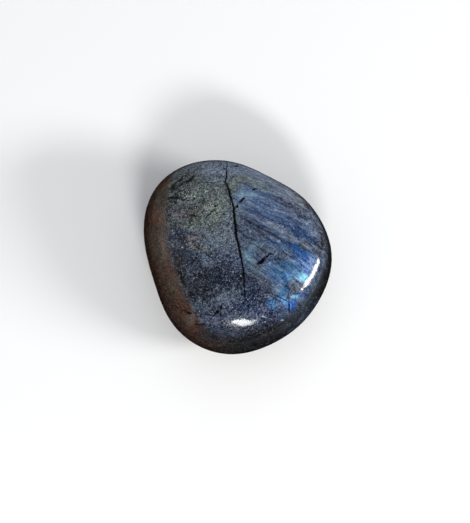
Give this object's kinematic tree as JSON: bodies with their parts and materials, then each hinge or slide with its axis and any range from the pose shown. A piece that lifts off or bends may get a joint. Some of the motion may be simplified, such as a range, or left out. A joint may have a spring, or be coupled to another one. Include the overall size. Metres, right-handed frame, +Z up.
{
  "type": "polished labradorite pebble",
  "caption": "Flattened pebble of polished labradorite with a rounded three-cornered outline, a gently domed face and a small flat to rest on.",
  "frame": {"origin": "on the resting plane, under the middle of the outline", "axes": "+Z up out of the face, +Y towards the top of the face as it is seen in the picture, +X to its right"},
  "size_m": [0.029, 0.03, 0.0131],
  "materials": {
    "polished_labradorite": "polished"
  },
  "bodies": {
    "root": {"labradorite_pebble": "polished_labradorite"}
  },
  "joints": []
}
